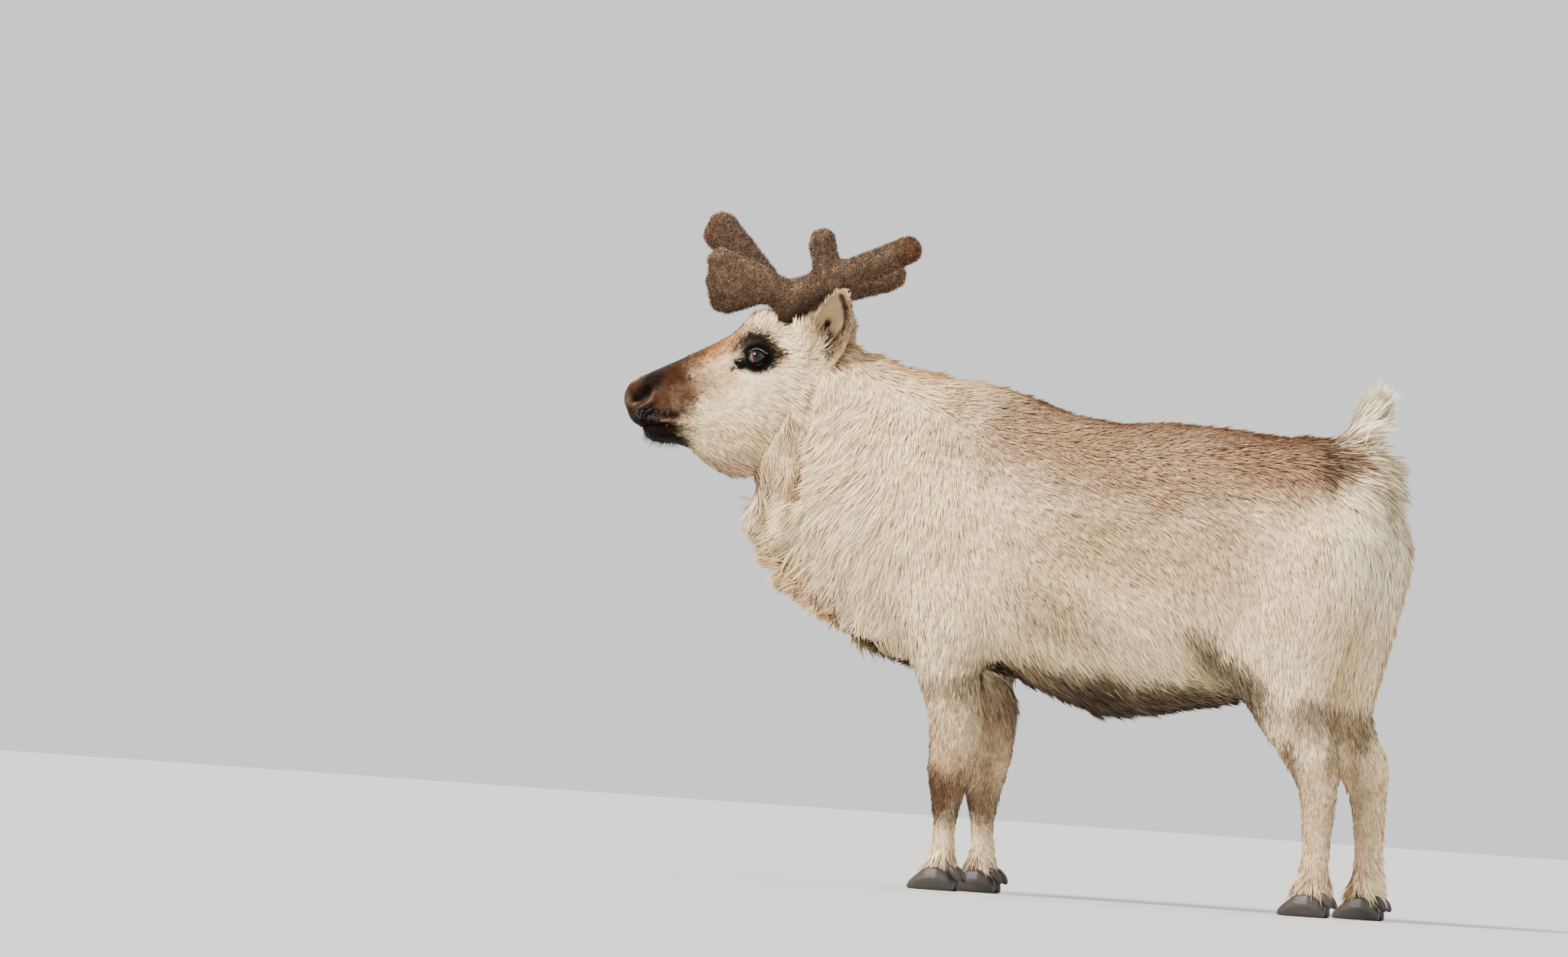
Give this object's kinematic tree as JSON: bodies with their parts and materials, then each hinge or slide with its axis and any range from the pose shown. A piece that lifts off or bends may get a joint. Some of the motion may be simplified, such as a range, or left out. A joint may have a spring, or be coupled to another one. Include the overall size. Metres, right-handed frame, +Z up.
{
  "type": "reindeer",
  "caption": "Standing short-legged reindeer in its pale winter coat, with a throat ruff, raised tail and blunt velvet antlers, as a still life-size model.",
  "frame": {"origin": "on the floor under the middle of the whole animal's box", "axes": "+Z up, the animal faces -X, and its left side is -Y"},
  "size_m": [1.3866, 0.406, 1.1225],
  "materials": {
    "coat": "long dense winter hair, cream-white with a taupe saddle, brown muzzle and dark marks",
    "velvet": "short grey-brown antler velvet, rusty at the tips, with a pale fuzzy rim",
    "hoof": "dark horn, dull, with fine growth rings",
    "eye": "wet and glossy, near black with a brown iris"
  },
  "bodies": {
    "root": {"torso": "coat", "neck": "coat", "head": "coat", "left_eye": "eye", "right_eye": "eye", "left_ear": "coat", "right_ear": "coat", "left_antler_beam": "velvet", "left_antler_brow": "velvet", "left_antler_tine": "velvet", "right_antler_beam": "velvet", "right_antler_brow": "velvet", "right_antler_tine": "velvet", "front_left_forearm": "coat", "front_left_cannon": "coat", "front_left_outer_claw": "hoof", "front_left_outer_dewclaw": "hoof", "front_left_inner_claw": "hoof", "front_left_inner_dewclaw": "hoof", "front_right_forearm": "coat", "front_right_cannon": "coat", "front_right_outer_claw": "hoof", "front_right_outer_dewclaw": "hoof", "front_right_inner_claw": "hoof", "front_right_inner_dewclaw": "hoof", "hind_left_thigh": "coat", "hind_left_cannon": "coat", "hind_left_outer_claw": "hoof", "hind_left_outer_dewclaw": "hoof", "hind_left_inner_claw": "hoof", "hind_left_inner_dewclaw": "hoof", "hind_right_thigh": "coat", "hind_right_cannon": "coat", "hind_right_outer_claw": "hoof", "hind_right_outer_dewclaw": "hoof", "hind_right_inner_claw": "hoof", "hind_right_inner_dewclaw": "hoof", "tail": "coat"}
  },
  "joints": []
}
